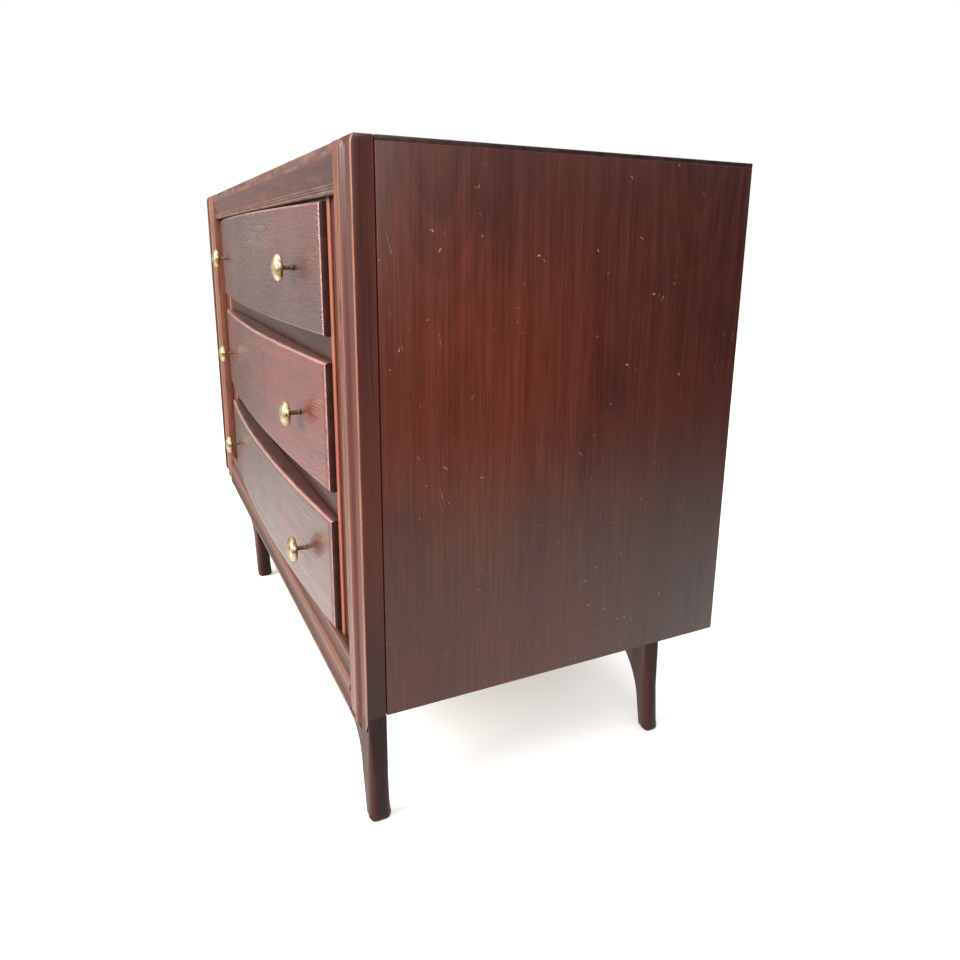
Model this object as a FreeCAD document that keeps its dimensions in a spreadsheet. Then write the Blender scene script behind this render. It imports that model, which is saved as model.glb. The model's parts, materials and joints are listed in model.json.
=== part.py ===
import FreeCAD, Part
import os
import Sketcher

# Three-drawer chest on short legs: a veneered case with a moulded picture-frame front,
# three bowed overlay drawer fronts with brass knobs, and drawers that slide on wooden runners.
# Millimetres. X is the width, -Y the front, Z up. The origin is on the floor, below the
# middle of the whole chest, knobs included.

DIMENSIONS = {
    "case_w": 1085, "case_d": 469, "leg_z": 129.5, "panel_z": 580,
    "side_t": 19, "skin_t": 4.5, "top_t": 18, "back_t": 5, "bottom_t": 12, "joint_gap": 0.8,
    "stile_w": 70, "stile_t": 21, "stile_drop": 27, "recess": 18,
    "top_rail_z": 46.4, "apron_drop": 33, "apron_z": 59.5,
    "inner_t": 20, "inner_bead_w": 9.5, "inner_bead_t": 3, "bead_gap": 1.2,
    "overlap": 8, "side_overlap": 10,
    "front_margin": 150, "front_gap": 0.3, "front_end_t": 11.2, "bow": 16, "front_round": 3.6,
    "upper_base": 515.2, "upper_z": 144.4, "middle_base": 333.7, "middle_z": 152.5,
    "lower_base": 158.8, "lower_z": 139.8,
    "box_gap": 1, "box_head": 6, "box_t": 12, "box_d": 410, "groove_d": 6, "groove_w": 6.2,
    "groove_up": 8, "base_t": 6, "base_play": 0.5,
    "runner_w": 40, "runner_t": 15, "runner_lip": 10, "runner_lip_z": 12, "runner_gap": 0.3,
    "rear_rail_t": 20, "rear_space": 5,
    "knob_inset": 103, "knob_r": 16, "knob_dome": 9, "knob_neck_r": 3.4, "knob_stem": 16.5,
    "knob_foot_r": 6.5, "screw_head_r": 4.2, "screw_head_t": 2.5, "seat_gap": 0.05,
    "front_leg_w": 17, "front_taper": 12, "front_flare": 40, "front_leg_d": 24, "front_slim": 4,
    "leg_setback": 1, "middle_leg_x": 690, "left_leg_y": 60, "foot_round": 8,
    "rear_leg_w": 16, "rear_taper": 3, "rear_flare": 90, "rear_leg_d": 21, "rear_leg_y": 361,
    "rear_rake": 11, "block": 38, "block_z": 16, "leg_block_d": 11,
    "nail_head_r": 2.6, "nail_head_t": 0.8, "nail_pitch": 115,
}

doc = FreeCAD.newDocument("chest")
sheet = doc.addObject("Spreadsheet::Sheet", "Dims")


class Size:
    """A length with both its value and the spreadsheet expression that gives it."""

    def __init__(self, value, text):
        self.value = float(value)
        self.text = text

    def _join(self, other, sign, value):
        other_text = other.text if isinstance(other, Size) else repr(other)
        return Size(value, "(" + self.text + " " + sign + " " + other_text + ")")

    def __add__(self, other):
        return self._join(other, "+", self.value + number(other))

    def __sub__(self, other):
        return self._join(other, "-", self.value - number(other))

    def __mul__(self, other):
        return self._join(other, "*", self.value * number(other))

    def __truediv__(self, other):
        return self._join(other, "/", self.value / number(other))


def number(size):
    return size.value if isinstance(size, Size) else float(size)


def as_size(size):
    return size if isinstance(size, Size) else Size(size, repr(float(size)))


def fill_sheet():
    sizes = {}
    for row, (alias, value) in enumerate(DIMENSIONS.items(), start=1):
        sheet.set("A%d" % row, alias)
        sheet.set("B%d" % row, str(value))
        sheet.setAlias("B%d" % row, alias)
        sizes[alias] = Size(value, "Dims." + alias)
    doc.recompute()
    return sizes


d = fill_sheet()
zero = Size(0, "0")
pieces = []


def bind(thing, prop, size):
    thing.setExpression(prop, as_size(size).text)


def place(thing, x, y, z):
    for axis, size in zip("xyz", (x, y, z)):
        bind(thing, "Placement.Base." + axis, size)


def keep(thing, label):
    thing.Label = label
    pieces.append(thing)
    return thing


def box(name, lengths, corner):
    solid = doc.addObject("Part::Box", name)
    for prop, size in zip(("Length", "Width", "Height"), lengths):
        bind(solid, prop, size)
    place(solid, *corner)
    return solid


def board(label, lengths, corner):
    return keep(box(label, lengths, corner), label)


def new_body(label):
    return keep(doc.addObject("PartDesign::Body", label), label)


def arc_middle(start, end, radius, turn):
    """Middle point of the short arc from start to end; turn is +1 when it bulges to the right."""
    mid = (start + end) * 0.5
    chord = end - start
    half = chord.Length / 2
    rise = radius - (radius ** 2 - half ** 2) ** 0.5
    return mid + FreeCAD.Vector(chord.y, -chord.x, 0).normalize() * rise * turn


def draw(sketch, outline):
    """Close a loop of points (x, y) in a sketch. A third and fourth entry, radius and turn,
    make the stretch to the next point an arc."""
    corners = [FreeCAD.Vector(number(p[0]), number(p[1]), 0) for p in outline]
    count = len(outline)
    base = sketch.GeometryCount
    for i, point in enumerate(outline):
        start, end = corners[i], corners[(i + 1) % count]
        if len(point) > 2:
            middle = arc_middle(start, end, number(point[2]), point[3])
            sketch.addGeometry(Part.Arc(start, middle, end), False)
        else:
            sketch.addGeometry(Part.LineSegment(start, end), False)
    # An arc runs counter-clockwise in a sketch, so its first point may be the loop's next one.
    ends = []
    for i in range(count):
        first = sketch.getPoint(base + i, 1)
        straight = (first - corners[i]).Length < 1e-6
        ends.append((1, 2) if straight else (2, 1))
    for i, point in enumerate(outline):
        after = (i + 1) % count
        sketch.addConstraint(Sketcher.Constraint("Coincident", base + i, ends[i][1],
                                                 base + after, ends[after][0]))
        for axis, way, size in (("X", -2, point[0]), ("Y", -1, point[1])):
            if number(size) == 0:
                sketch.addConstraint(Sketcher.Constraint("PointOnObject", base + i, ends[i][0], way))
                continue
            index = sketch.addConstraint(Sketcher.Constraint("Distance" + axis, -1, 1, base + i,
                                                             ends[i][0], number(size)))
            bind(sketch, "Constraints[%d]" % index, size)
        if len(point) > 2:
            index = sketch.addConstraint(Sketcher.Constraint("Radius", base + i, number(point[2])))
            bind(sketch, "Constraints[%d]" % index, point[2])


def sketch_on(body, name, role, *outlines):
    sketch = body.newObject("Sketcher::SketchObject", name)
    plane = next(f for f in body.Origin.OriginFeatures if f.Role == role)
    sketch.AttachmentSupport = [(plane, "")]
    sketch.MapMode = "FlatFace"
    for outline in outlines:
        draw(sketch, outline)
    return sketch


def pad(body, sketch, length, reverse=False):
    feature = body.newObject("PartDesign::Pad", sketch.Name + "_pad")
    feature.Profile = sketch
    feature.Reversed = reverse
    bind(feature, "Length", length)
    doc.recompute()
    return feature


def pocket_through(body, sketch):
    before = body.Shape.Volume
    feature = body.newObject("PartDesign::Pocket", sketch.Name + "_cut")
    feature.Profile = sketch
    feature.Type = "ThroughAll"
    feature.Midplane = True
    doc.recompute()
    if not body.Shape.Volume < before - 1:
        raise RuntimeError(sketch.Name + " cuts nothing")
    return feature


def revolve(body, sketch):
    feature = body.newObject("PartDesign::Revolution", sketch.Name + "_turned")
    feature.Profile = sketch
    feature.ReferenceAxis = (sketch, ["V_Axis"])
    feature.Angle = 360
    doc.recompute()
    return feature


# Places that several pieces share.
total_z = d["leg_z"] + d["panel_z"]
right = d["case_w"] / 2
left = zero - right
bow_rise = d["bow"] - d["recess"] + d["front_gap"] + d["front_end_t"]
half_front = right - d["front_margin"]
front_radius = (half_front * half_front + d["bow"] * d["bow"]) / (d["bow"] * 2)
knob_out = d["knob_stem"] + d["knob_dome"]
knob_seat_x = half_front - d["knob_inset"]
# Depth of a knob's foot behind the middle of the bowed face: the foot just clears the face.
knob_seat = (knob_seat_x * knob_seat_x / (front_radius * 2)
             - knob_seat_x * d["knob_foot_r"] / front_radius - d["seat_gap"])
knob_reach = bow_rise + knob_out - knob_seat
# The case front stands so that the whole chest, knobs included, is centred on the origin.
front = (knob_reach - d["case_d"]) / 2
back = front + d["case_d"]
recess_y = front + d["recess"]
inner_back = recess_y + d["inner_t"]
panel_front = front + d["stile_t"] + d["joint_gap"]
inside_right = right - d["side_t"]
inside_w = d["case_w"] - d["side_t"] * 2
opening_half = half_front - d["side_overlap"]
under_skin = total_z - d["skin_t"]
head_z = d["skin_t"] + d["top_t"]
# The back panel sits in by a nail head.
back_face = back - d["nail_head_t"]
case_inner_d = back_face - d["back_t"] - inner_back


def case_boards():
    panel_d = back - panel_front
    panel_z = under_skin - d["leg_z"]
    for label, x in (("side_panel_right", inside_right), ("side_panel_left", left)):
        board(label, (d["side_t"], panel_d, panel_z), (x, panel_front, d["leg_z"]))
    board("top_skin", (d["case_w"], panel_d, d["skin_t"]), (left, panel_front, under_skin))
    inside_left = zero - inside_right
    board("top_core", (inside_w, case_inner_d, d["top_t"]),
          (inside_left, inner_back, under_skin - d["top_t"]))
    board("bottom_board", (inside_w, case_inner_d, d["bottom_t"]),
          (inside_left, inner_back, d["leg_z"]))
    board("back_panel", (inside_w, d["back_t"], panel_z),
          (inside_left, back_face - d["back_t"], d["leg_z"]))


def mirror(outline, width):
    """The same outline seen from the other side of a piece of this width."""
    flipped = []
    for x, y, *arc in outline:
        across = width - x
        if not x.value:
            across = width
        elif abs(across.value) < 1e-9:
            across = zero
        flipped.append((across, y, arc[0], -arc[1]) if arc else (across, y))
    return flipped


def stile_profile(mirrored):
    """Plan of a moulded stile. The outer arris, a cove, the raised crest and the inner bead."""
    w = d["stile_w"]
    # Distance from the case side, depth behind the front, then arc radius and bulge.
    shape = [(0.0, 2.6, 2.7, 1), (2.6, 0.0), (6.5, 0.2, 3.2, 1), (9.5, 2.6), (11.0, 3.0, 30.0, -1),
             (28.5, 3.0), (31.0, 4.4), (33.0, 1.4, 6.5, 1), (41.5, 1.0), (43.5, 2.2, 40.0, -1),
             (57.0, 2.2), (58.6, 3.2), (60.2, 2.0, 6.0, 1), (67.6, 1.9, 2.6, 1)]
    points = [(as_size(a), as_size(y)) + tuple(rest) for a, y, *rest in shape]
    points += [(w, as_size(4.2)), (w, d["recess"]), (d["side_t"], d["recess"]),
               (d["side_t"], d["stile_t"]), (zero, d["stile_t"])]
    return mirror(points, w) if mirrored else points


def moulded_stile(label, mirrored):
    body = new_body(label)
    plan = sketch_on(body, label + "_plan", "XY_Plane", stile_profile(mirrored))
    stile_z = d["panel_z"] + d["stile_drop"]
    pad(body, plan, stile_z)
    corner = d["stile_drop"]
    w = d["stile_w"]
    # A block behind the top end closes the joint to the top sheet.
    side_t = d["side_t"]
    block = [(side_t, d["recess"]), (w, d["recess"]), (w, d["stile_t"]), (side_t, d["stile_t"])]
    head = sketch_on(body, label + "_head", "XY_Plane", mirror(block, w) if mirrored else block)
    bind(head, "AttachmentOffset.Base.z", stile_z - head_z)
    pad(body, head, head_z)
    waste = [(zero, zero), (corner, zero, corner, -1), (zero, corner)]
    pocket_through(body, sketch_on(body, label + "_corner", "XZ_Plane",
                                   mirror(waste, w) if mirrored else waste))
    x = right - w if mirrored else left
    place(body, x, front, d["leg_z"] - d["stile_drop"])


def long_rail(label, shape, back_edge, base):
    """A moulded rail between the stiles; shape gives (depth, height) up its front."""
    body = new_body(label)
    points = [(as_size(y), as_size(z)) + tuple(rest) for y, z, *rest in shape]
    points += back_edge
    side = sketch_on(body, label + "_side", "YZ_Plane", points)
    pad(body, side, d["case_w"] - d["stile_w"] * 2)
    place(body, left + d["stile_w"], front, base)


def front_rails():
    # Up the front of the top rail: double reed, cove, grooved flat, step and crown.
    top_shape = [(8.4, 0.0), (6.8, 1.0, 2.4, -1), (6.8, 4.6), (7.6, 5.2), (6.4, 5.8, 2.6, -1),
                 (6.6, 9.6), (9.4, 10.4, 6.0, 1), (8.4, 16.2), (7.2, 17.0), (7.0, 24.0), (7.6, 24.6),
                 (6.8, 25.2), (6.4, 31.2), (4.6, 32.0, 9.5, -1), (3.4, 44.6)]
    rail_z = d["top_rail_z"]
    long_rail("top_front_rail", top_shape + [(4.4, rail_z)],
              [(d["stile_t"], rail_z), (d["stile_t"], rail_z - head_z),
               (d["recess"], rail_z - head_z), (d["recess"], zero)], total_z - rail_z)
    # Up the front of the apron: arris, cove, raised bead, hollow and inner bead.
    apron_shape = [(2.4, 0.0), (1.0, 1.4), (1.0, 6.0), (2.8, 7.4, 16.0, 1), (3.6, 23.0), (5.0, 24.0),
                   (3.2, 26.0, 8.0, -1), (4.6, 38.0), (6.4, 39.0, 16.0, 1), (7.6, 51.0),
                   (7.6, 52.4, 4.4, -1), (9.6, 58.4)]
    rail_z = d["apron_z"]
    long_rail("bottom_front_rail", apron_shape + [(11.0, rail_z)],
              [(d["recess"], rail_z), (d["recess"], zero)], d["leg_z"] - d["apron_drop"])


def inner_frame():
    """The flat frame behind the mouldings, with a narrow bead along each side of the opening."""
    stile_w = inside_right - opening_half
    stile_base = d["leg_z"]
    stile_z = under_skin - d["top_t"] - stile_base
    bead = d["inner_bead_t"]
    y_back = bead + d["inner_t"]
    plan = [(zero, bead), (stile_w, bead), (stile_w, y_back), (zero, y_back)]
    bead_in = d["side_overlap"] + d["bead_gap"]
    bead_out = bead_in + d["inner_bead_w"]
    bead_plan = [(bead_in, zero), (bead_out, zero), (bead_out, bead), (bead_in, bead)]
    bead_base = d["apron_z"] - d["apron_drop"]
    bead_z = total_z - d["top_rail_z"] - stile_base - bead_base
    for side, x in (("right", opening_half), ("left", zero - inside_right)):
        label = "inner_stile_" + side
        body = new_body(label)
        pad(body, sketch_on(body, label + "_plan", "XY_Plane", plan), stile_z)
        # The bead stands between the two moulded rails.
        edge = sketch_on(body, label + "_bead", "XY_Plane",
                         bead_plan if side == "right" else mirror(bead_plan, stile_w))
        bind(edge, "AttachmentOffset.Base.z", bead_base)
        pad(body, edge, bead_z)
        place(body, x, recess_y - bead, stile_base)
    levels = [("inner_bottom_rail", d["leg_z"], d["lower_base"] + d["overlap"]),
              ("drawer_divider_lower", d["lower_base"] + d["lower_z"] - d["overlap"],
               d["middle_base"] + d["overlap"]),
              ("drawer_divider_upper", d["middle_base"] + d["middle_z"] - d["overlap"],
               d["upper_base"] + d["overlap"]),
              ("inner_top_rail", d["upper_base"] + d["upper_z"] - d["overlap"],
               under_skin - d["top_t"])]
    for label, low, high in levels:
        board(label, (opening_half * 2, d["inner_t"], high - low),
              (zero - opening_half, recess_y, low))


def runners(name, base):
    """Two L-shaped runners and the rear rail that carries their ends."""
    run_top = base + d["overlap"] + d["box_gap"] - d["runner_gap"]
    rear_front = back_face - d["back_t"] - d["rear_space"] - d["rear_rail_t"]
    run_l = rear_front - inner_back
    w, lip, t = d["runner_w"], d["runner_lip"], d["runner_t"]
    tall = t + d["runner_lip_z"]
    plan = [(zero, zero), (w, zero), (w, tall), (w - lip, tall), (w - lip, t), (zero, t)]
    for side, outline, x in (("right", plan, opening_half + lip - w),
                             ("left", mirror(plan, w), zero - opening_half - lip)):
        label = name + "_runner_" + side
        body = new_body(label)
        pad(body, sketch_on(body, label + "_end", "XZ_Plane", outline), run_l, True)
        place(body, x, inner_back, run_top - t)
    board(name + "_rear_rail", (inside_w, d["rear_rail_t"], t),
          (zero - inside_right, rear_front, run_top - t))


def bowed_front(label, base, front_z):
    body = new_body(label)
    w, bow = half_front * 2, d["bow"]
    thick = bow + d["front_end_t"]
    plan = [(zero, bow, front_radius, 1), (w, bow), (w, thick), (zero, thick)]
    solid = pad(body, sketch_on(body, label + "_plan", "XY_Plane", plan), front_z)
    # Round the whole edge of the bowed face.
    edges = []
    for i, edge in enumerate(body.Shape.Edges, start=1):
        upright = abs(edge.tangentAt(edge.FirstParameter).z) > 0.9
        front_end = edge.CenterOfMass.y < number(bow) + 0.1
        if front_end and (upright or edge.Curve.TypeId == "Part::GeomCircle"):
            edges.append("Edge%d" % i)
    fillet = body.newObject("PartDesign::Fillet", label + "_round")
    fillet.Base = (solid, edges)
    bind(fillet, "Radius", d["front_round"])
    doc.recompute()
    place(body, zero - half_front, front - bow_rise, base)


def grooved(label, lengths, corner, groove_lengths, groove_corner):
    blank = box(label + "_blank", lengths, corner)
    groove = box(label + "_groove", groove_lengths, groove_corner)
    cut = doc.addObject("Part::Cut", label)
    cut.Base = blank
    cut.Tool = groove
    return keep(cut, label)


def drawer_box(name, base, front_z):
    box_base = base + d["overlap"] + d["box_gap"]
    box_z = front_z - d["overlap"] * 2 - d["box_gap"] - d["box_head"]
    start = recess_y - d["front_gap"]
    half = opening_half - d["box_gap"]
    t, deep = d["box_t"], d["box_d"]
    groove_z = box_base + d["groove_up"]
    for side, x, groove_x in (("right", half - t, half - t), ("left", zero - half,
                                                              zero - half + t - d["groove_d"])):
        grooved(name + "_drawer_side_" + side, (t, deep, box_z), (x, start, box_base),
                (d["groove_d"], deep, d["groove_w"]), (groove_x, start, groove_z))
    inner_w = (half - t) * 2
    back_base = groove_z + d["groove_w"]
    board(name + "_drawer_back", (inner_w, t, box_z - d["groove_up"] - d["groove_w"]),
          (zero - half + t, start + deep - t, back_base))
    play = d["base_play"]
    board(name + "_drawer_bottom", (inner_w + (d["groove_d"] - play) * 2, deep - play * 2, d["base_t"]),
          (t - half - d["groove_d"] + play, start + play, groove_z + (d["groove_w"] - d["base_t"]) / 2))


def knobs(name, base, front_z):
    """Two turned knobs and the machine screws that hold them from inside the drawer."""
    r, neck, dome, stem = d["knob_r"], d["knob_neck_r"], d["knob_dome"], d["knob_stem"]
    foot = d["knob_foot_r"]
    height = base + front_z / 2
    seat = front - bow_rise + knob_seat
    # From the seat outward, as distance from the axis and height.
    profile = [(zero, zero), (foot, zero), (foot, as_size(1.4)), (neck, as_size(3.6)),
               (neck, stem - 2.0), (r * 0.55, stem), (r - 0.8, stem + 0.6), (r, stem + 1.8),
               (r - 1.0, stem + 3.4), (r * 0.84, stem + 3.9),
               (r * 0.8, stem + 4.6, r * 1.5, 1), (r * 0.3, knob_out - 0.3), (zero, knob_out)]
    for side, x in (("right", knob_seat_x), ("left", zero - knob_seat_x)):
        label = name + "_knob_" + side
        body = new_body(label)
        revolve(body, sketch_on(body, label + "_half", "XY_Plane", profile))
        body.Placement.Rotation = FreeCAD.Rotation(FreeCAD.Vector(0, 0, 1), 180)
        place(body, x, seat, height)
    inside = recess_y - d["front_gap"] + d["seat_gap"]
    heads = []
    for side, x in (("right", knob_seat_x), ("left", zero - knob_seat_x)):
        head = doc.addObject("Part::Cylinder", name + "_screw_head_" + side)
        bind(head, "Radius", d["screw_head_r"])
        bind(head, "Height", d["screw_head_t"])
        head.Placement.Rotation = FreeCAD.Rotation(FreeCAD.Vector(1, 0, 0), -90)
        place(head, x, inside, height)
        heads.append(head)
    group = doc.addObject("Part::Compound", name + "_knob_screws")
    group.Links = heads
    keep(group, name + "_knob_screws")


def leg(label, x, y, outline, deep, tall, outer_right, rake=0.0, slim=0.0, extra=0.0):
    """A leg that widens upwards on its inner side, by a taper and then by a concave flare that
    ends at the leg's top, less extra, which is the height of a block above it.
    Rake moves the foot back; slim makes the top thinner than the foot."""
    body = new_body(label)
    width, taper, flare = outline
    wide = width + taper + flare
    top_w = wide if not number(extra) else d["stile_w"]
    foot = d["foot_round"]
    rake = as_size(rake)
    if rake.value:
        side = [(zero, tall), (rake, zero), (rake + deep, zero), (deep, tall)]
    else:
        side = [(zero, tall), (zero, zero), (deep, zero), (deep - slim, tall)]
    pad(body, sketch_on(body, label + "_side", "YZ_Plane", side), top_w)
    shoulder = tall - extra

    # The waste beside the leg, drawn for a leg whose outer side is on the left.
    waste = [(top_w, zero), (width - foot, zero, foot, 1), (width, foot),
             (width + taper, shoulder - flare, flare, -1), (wide, shoulder)]
    if number(extra):
        waste.append((top_w, shoulder))
    waste = mirror(waste, top_w) if outer_right else waste
    pocket_through(body, sketch_on(body, label + "_waste", "XZ_Plane", waste))
    place(body, x, y, zero)
    return body


def legs():
    """Front corner leg, the second front leg, a left leg set back, and two raked rear legs."""
    apron_base = d["leg_z"] - d["apron_drop"]
    front_y = front + d["leg_setback"]
    outline = (d["front_leg_w"], d["front_taper"], d["front_flare"])
    wide = outline[0] + outline[1] + outline[2]
    deep, slim = d["front_leg_d"], d["front_slim"]
    # The corner leg rises round the stile's rounded lower end.
    case_base = d["leg_z"]
    body = leg("front_leg_right", right - d["stile_w"], front_y, outline, deep, case_base, True,
               slim=slim, extra=d["apron_drop"])
    r = d["stile_drop"]
    stile_base = case_base - r
    edge = d["stile_w"]
    arch = [(zero, stile_base), (edge - r, stile_base, r, 1), (edge, case_base), (zero, case_base)]
    pocket_through(body, sketch_on(body, "front_leg_right_arch", "XZ_Plane", arch))
    middle_x = right - d["middle_leg_x"] - wide
    leg("front_leg_middle", middle_x, front_y, outline, deep, apron_base, True, slim=slim)
    block_d = d["leg_block_d"]
    group_of_boxes("leg_blocks", [
        ((edge - r, block_d, r), (right - edge, recess_y, stile_base)),
        ((wide, block_d, d["apron_drop"]), (middle_x, recess_y, apron_base))])
    leg("front_leg_left", left, front + d["left_leg_y"], outline, deep, d["leg_z"], False, slim=slim)
    outline = (d["rear_leg_w"], d["rear_taper"], d["rear_flare"])
    rear_wide = outline[0] + outline[1] + outline[2]
    for side, x, outer_right in (("right", right - rear_wide, True), ("left", left, False)):
        leg("rear_leg_" + side, x, front + d["rear_leg_y"], outline, d["rear_leg_d"], d["leg_z"],
            outer_right, rake=d["rear_rake"])


def group_of_boxes(label, boxes):
    solids = [box(label + "_%d" % i, *sizes) for i, sizes in enumerate(boxes, start=1)]
    group = doc.addObject("Part::Compound", label)
    group.Links = solids
    return keep(group, label)


def blocks_and_nails():
    b, b_z = d["block"], d["block_z"]
    low = under_skin - d["top_t"] - b_z
    sides = (inside_right - b, zero - inside_right)
    group_of_boxes("glue_blocks", [((b, b, b_z), (x, inner_back + case_inner_d * along, low))
                                   for x in sides for along in (0.15, 0.5, 0.8)])
    heads = []
    nails = int(number(inside_w) // number(d["nail_pitch"]))
    for level, z in enumerate((d["leg_z"] + d["bottom_t"] / 2, under_skin - d["top_t"] / 2)):
        for i in range(nails + 1):
            head = doc.addObject("Part::Cylinder", "nail_head_%d_%d" % (level, i))
            bind(head, "Radius", d["nail_head_r"])
            bind(head, "Height", d["nail_head_t"])
            head.Placement.Rotation = FreeCAD.Rotation(FreeCAD.Vector(1, 0, 0), 90)
            x = (inside_w - d["nail_pitch"] * nails) / 2 - inside_right + d["nail_pitch"] * i
            place(head, x, back, z)
            heads.append(head)
    group = doc.addObject("Part::Compound", "back_nails")
    group.Links = heads
    keep(group, "back_nails")


def check_and_export():
    doc.recompute()
    for thing in doc.Objects:
        if {"Invalid", "Error"} & set(thing.State):
            raise RuntimeError("failed: " + thing.Name)
    os.makedirs("parts", exist_ok=True)
    for piece in pieces:
        if piece.Shape.isNull() or not piece.Shape.isValid():
            raise RuntimeError("bad shape: " + piece.Label)
        piece.Shape.exportStep("parts/" + piece.Label + ".step")
    whole = Part.makeCompound([piece.Shape for piece in pieces]).BoundBox
    print(len(pieces), "pieces; box", [round(v, 2) for v in (whole.XMin, whole.XMax, whole.YMin,
                                                             whole.YMax, whole.ZMin, whole.ZMax)])


case_boards()
moulded_stile("front_stile_right", True)
moulded_stile("front_stile_left", False)
front_rails()
inner_frame()
for drawer in ("upper", "middle", "lower"):
    drawer_base, drawer_z = d[drawer + "_base"], d[drawer + "_z"]
    runners(drawer, drawer_base)
    bowed_front(drawer + "_drawer_front", drawer_base, drawer_z)
    drawer_box(drawer, drawer_base, drawer_z)
    knobs(drawer, drawer_base, drawer_z)
legs()
blocks_and_nails()
check_and_export()
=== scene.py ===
import json
import math

import bmesh
import bpy
from mathutils import Matrix, Vector, noise


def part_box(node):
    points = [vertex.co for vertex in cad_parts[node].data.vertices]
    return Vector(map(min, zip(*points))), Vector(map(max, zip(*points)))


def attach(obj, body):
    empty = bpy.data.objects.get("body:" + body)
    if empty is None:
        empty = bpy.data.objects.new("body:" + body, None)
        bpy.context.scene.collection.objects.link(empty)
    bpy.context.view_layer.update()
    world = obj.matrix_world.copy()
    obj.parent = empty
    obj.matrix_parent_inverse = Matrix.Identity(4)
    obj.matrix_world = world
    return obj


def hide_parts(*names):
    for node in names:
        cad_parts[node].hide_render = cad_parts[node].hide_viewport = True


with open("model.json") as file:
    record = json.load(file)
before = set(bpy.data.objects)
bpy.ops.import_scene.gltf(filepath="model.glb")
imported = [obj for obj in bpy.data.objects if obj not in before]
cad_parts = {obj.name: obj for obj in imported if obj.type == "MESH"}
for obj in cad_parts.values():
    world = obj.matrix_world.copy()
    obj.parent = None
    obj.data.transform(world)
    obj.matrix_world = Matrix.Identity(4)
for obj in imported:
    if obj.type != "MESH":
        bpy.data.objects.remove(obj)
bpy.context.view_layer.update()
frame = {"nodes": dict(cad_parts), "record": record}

MM = 0.001
NODES = frame["nodes"]
BODY_OF = {n: body for body, names in frame["record"]["behaviour"]["bodies"].items() for n in names}
SLOT_OF = {s["node"]: s["material_slot"] for s in frame["record"]["subparts"]}
DRAWERS = ("upper", "middle", "lower")


def low_high(node):
    """Lowest and highest corner of a CAD node in millimetres."""
    low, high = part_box(node)
    return low / MM, high / MM


# ---------------------------------------------------------------- camera, lights and floor

def rgb(*screen):
    """A colour given as three screen values from 0 to 255, made linear."""
    return tuple(((c / 255 + 0.055) / 1.055) ** 2.4 if c > 10 else c / 3295 for c in screen) + (1.0,)


def make_camera():
    """A wide lens to the right of the chest and a little ahead of its front, lower than its top."""
    data = bpy.data.cameras.new("camera")
    data.sensor_width = 36
    data.lens = 27.935
    data.shift_x, data.shift_y = -0.00495, -0.05416
    data.clip_start, data.clip_end = 0.05, 200
    camera = bpy.data.objects.new("camera", data)
    bpy.context.scene.collection.objects.link(camera)
    place = Vector((1.21061, -0.41775, 0.61416))
    ahead = Vector((-0.87136, 0.43001, -0.23627))
    across = Vector((0.44009, 0.89789, 0.01111))
    up = Vector((-0.21692, 0.09430, 0.97162))
    turn = Matrix((across, up, -ahead)).transposed().to_4x4()
    camera.matrix_world = Matrix.Translation(place) @ turn
    bpy.context.scene.camera = camera


def area_light(name, place, target, size, power, colour=(1, 1, 1)):
    data = bpy.data.lights.new(name, "AREA")
    data.shape, data.size, data.size_y = "RECTANGLE", size[0], size[1]
    data.energy, data.color = power, colour
    light = bpy.data.objects.new(name, data)
    light.location = place
    aim = Vector(target) - Vector(place)
    light.rotation_euler = aim.to_track_quat("-Z", "Y").to_euler()
    bpy.context.scene.collection.objects.link(light)
    light.visible_camera = False


def make_world():
    """White behind the object. Reflections see a studio with soft bright and dim zones: bright high up
    and low down, dim ahead on the left and nearly dark on the right and at the rear."""
    world = bpy.data.worlds.new("studio")
    world.use_nodes = True
    bpy.context.scene.world = world
    g = Graph(world, shader="Background")
    way = g.add("TexCoord").outputs["Generated"]
    x, y, z = g.split(way)
    ahead = g.math("MAXIMUM", g.times(y, -1), 0)
    zones = g.fit(g.noise(g.at((3.2, 3.2, 0.9), vector=way), 1, 2), 0.30, 0.70, 0.45, 1.25)
    front_left = g.times(g.plus(g.times(ahead, 0.95), 0.25), zones)
    front_left = g.times(front_left, g.fit(z, -0.14, -0.02, 0.85, 1.1))
    below = g.fit(z, -0.16, -0.56, 0, 1.0)
    above = g.fit(z, 0.22, 0.6, 0, 0.9)
    dimmest = 0.03
    level = g.plus(g.times(front_left, g.fit(x, 0.2, -0.2)), dimmest)
    level = g.plus(level, g.plus(below, above))
    mirrored = g.join(level, g.times(level, 0.96), g.times(level, 0.92))
    path = g.add("LightPath").outputs
    lit = g.fit(z, -0.1, 0.1, 0.30, 0.72)
    seen = g.mix(path["Is Camera Ray"], g.join(lit, lit, lit), (1, 1, 1, 1))
    g.set("Color", g.mix(path["Is Glossy Ray"], seen, mirrored))


def make_floor():
    """A pale paper sheet below the object, plain and left out of reflections."""
    reach = 14
    mesh = bpy.data.meshes.new("floor")
    mesh.from_pydata([(-reach, -reach, 0), (reach, -reach, 0), (reach, reach, 0), (-reach, reach, 0)], [],
                     [range(4)])
    floor = bpy.data.objects.new("floor", mesh)
    bpy.context.scene.collection.objects.link(floor)
    g = Graph("floor_paper", Roughness=0.9, Emission_Color=(1, 1, 1, 1), Emission_Strength=0.36)
    g.set("Base Color", g.ramp(g.noise(g.at(), 3, 2), [(0.3, (0.90, 0.90, 0.90, 1)),
                                                       (0.7, (0.92, 0.92, 0.92, 1))]))
    floor.data.materials.append(g.material)
    floor.visible_glossy = False
    floor.visible_diffuse = False


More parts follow.
